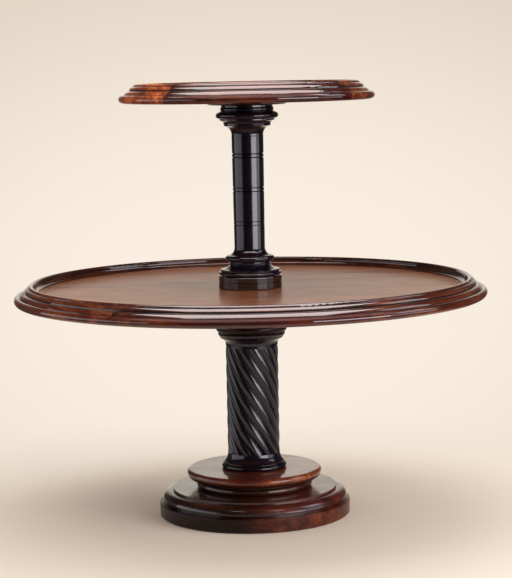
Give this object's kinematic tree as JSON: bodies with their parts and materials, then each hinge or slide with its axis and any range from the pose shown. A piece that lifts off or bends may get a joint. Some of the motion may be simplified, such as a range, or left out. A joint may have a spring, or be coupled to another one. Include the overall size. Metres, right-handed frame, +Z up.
{
  "type": "revolving tiered side table",
  "caption": "Two round dished trays, a large one below and a small one above, turn freely on a central turned column with a round stepped foot.",
  "frame": {"origin": "centre of the foot's underside, on the floor", "axes": "+Z up along the columns, +X to the viewer's right and -Y towards the viewer"},
  "size_m": [0.6, 0.6, 0.5515],
  "materials": {
    "mahogany": "french polished, glossy, dark red-brown",
    "ebonised_wood": "ebonised and polished, glossy black",
    "iron": "dull, bare, lightly oxidised",
    "leather": "matt, compressed"
  },
  "bodies": {
    "stand": {"foot_plinth": "mahogany", "foot_ring": "mahogany", "foot_cap": "mahogany", "foot_screws": "iron", "lower_column": "ebonised_wood", "column_wedge": "mahogany", "lower_bearing_washer": "leather", "seat_washer": "leather", "upper_column": "ebonised_wood", "upper_pivot_pin": "iron", "upper_bearing_washer": "leather"},
    "lower_tier": {"lower_tray_board": "mahogany", "lower_tray_boss": "mahogany", "lower_boss_screws": "iron", "lower_tray_collar": "mahogany", "lower_rim_segment_1": "mahogany", "lower_rim_segment_2": "mahogany", "lower_rim_segment_3": "mahogany", "lower_rim_segment_4": "mahogany", "lower_rim_segment_5": "mahogany", "lower_rim_segment_6": "mahogany"},
    "upper_tier": {"upper_tray_board": "mahogany", "upper_tray_boss": "mahogany", "upper_boss_screws": "iron", "upper_rim_segment_1": "mahogany", "upper_rim_segment_2": "mahogany", "upper_rim_segment_3": "mahogany", "upper_rim_segment_4": "mahogany"}
  },
  "joints": [
    {"name": "lower_tier_turn", "type": "hinge", "parent": "stand", "child": "lower_tier", "pos_m": [0, 0, 0.2848], "axis": [0, 0, 1], "continuous": true},
    {"name": "upper_tier_turn", "type": "hinge", "parent": "stand", "child": "upper_tier", "pos_m": [0, 0, 0.5293], "axis": [0, 0, 1], "continuous": true}
  ]
}
